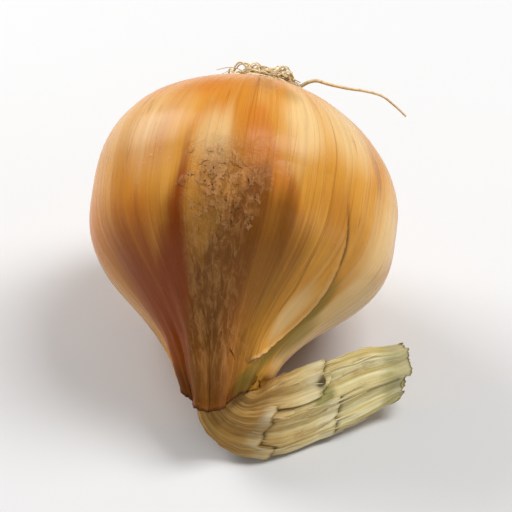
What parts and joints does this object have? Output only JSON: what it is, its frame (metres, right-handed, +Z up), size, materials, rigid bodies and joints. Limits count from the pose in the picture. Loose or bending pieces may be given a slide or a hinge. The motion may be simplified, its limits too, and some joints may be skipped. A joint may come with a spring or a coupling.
{
  "type": "yellow onion",
  "caption": "Globe-shaped dry bulb lying on its side, with a pinched neck, a withered stalk folded over and a tuft of dried roots.",
  "frame": {"origin": "centre of the small flat spot on the bulb's belly that it rests on", "axes": "+Z up; the bulb's own axis lies in the YZ plane, with its root end towards +Y and up and its neck towards -Y and down"},
  "size_m": [0.0775, 0.0829, 0.0709],
  "materials": {
    "onion_skin": "thin dry golden-brown skin with a soft satin gloss",
    "dry_stalk": "matt straw-coloured withered leaf sheath",
    "dry_roots": "matt tan to grey-brown dried roots"
  },
  "bodies": {
    "root": {"bulb": "onion_skin", "withered_stalk": "dry_stalk", "root_crown": "dry_roots"}
  },
  "joints": []
}
